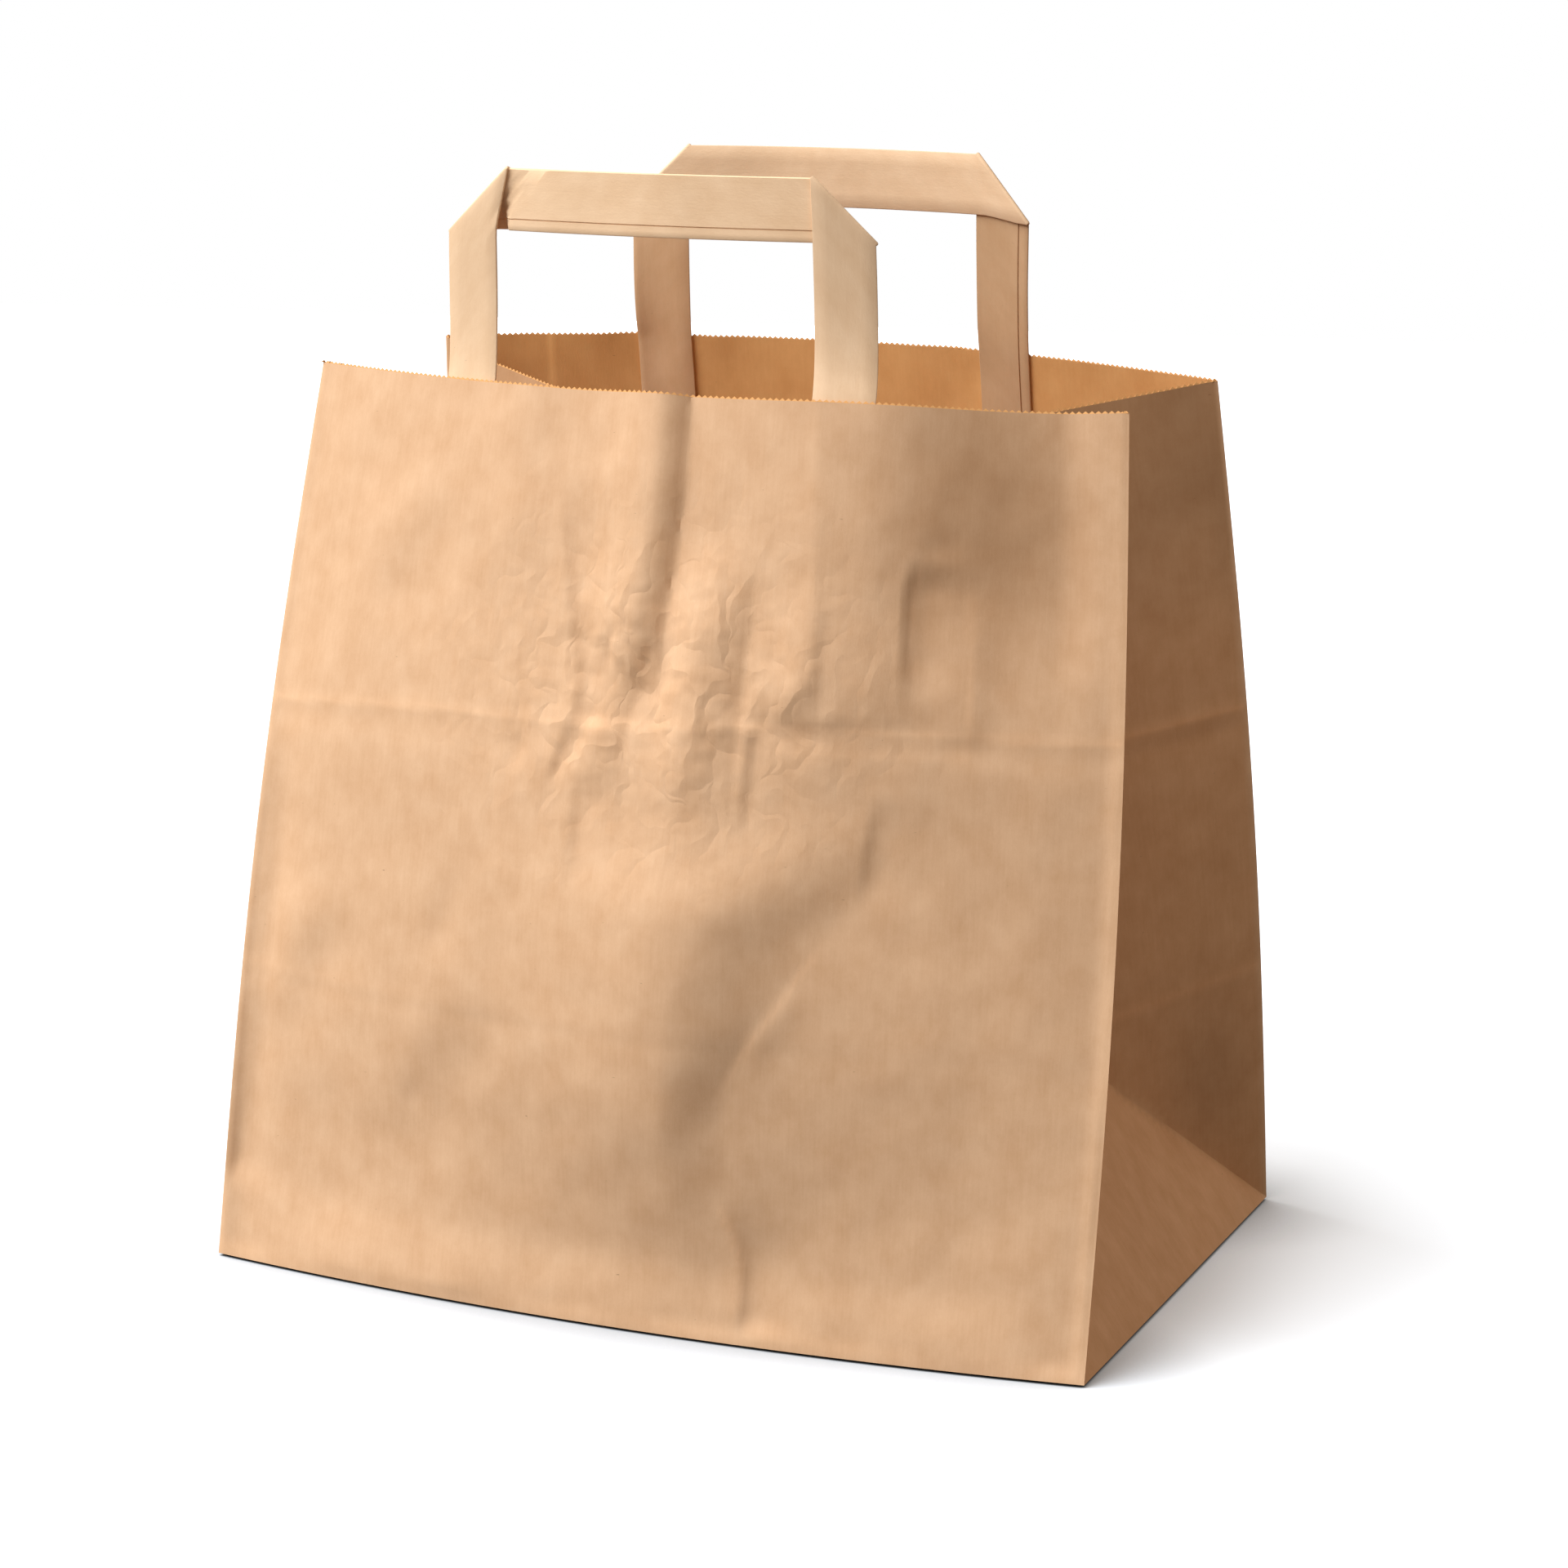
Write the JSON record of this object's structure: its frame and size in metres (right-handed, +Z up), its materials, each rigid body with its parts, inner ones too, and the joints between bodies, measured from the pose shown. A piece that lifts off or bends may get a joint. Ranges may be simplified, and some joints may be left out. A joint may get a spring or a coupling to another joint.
{
  "type": "paper carrier bag",
  "caption": "Plain brown kraft paper carrier bag with a block bottom, side gussets and flat handles of folded paper tape, standing open.",
  "frame": {"origin": "centre of the bottom, on the surface that the bag stands on", "axes": "+X along the wide panels to the right as seen from the front, +Y from the front panel to the back panel, +Z up"},
  "size_m": [0.2623, 0.1894, 0.3109],
  "materials": {
    "kraft_paper": "matt, with a faint machine sheen",
    "handle_tape": "matt, smooth",
    "patch_paper": "matt"
  },
  "bodies": {
    "root": {"bag_body": "kraft_paper", "front_handle": "handle_tape", "back_handle": "handle_tape", "front_handle_patch": "patch_paper", "back_handle_patch": "patch_paper"}
  },
  "joints": []
}
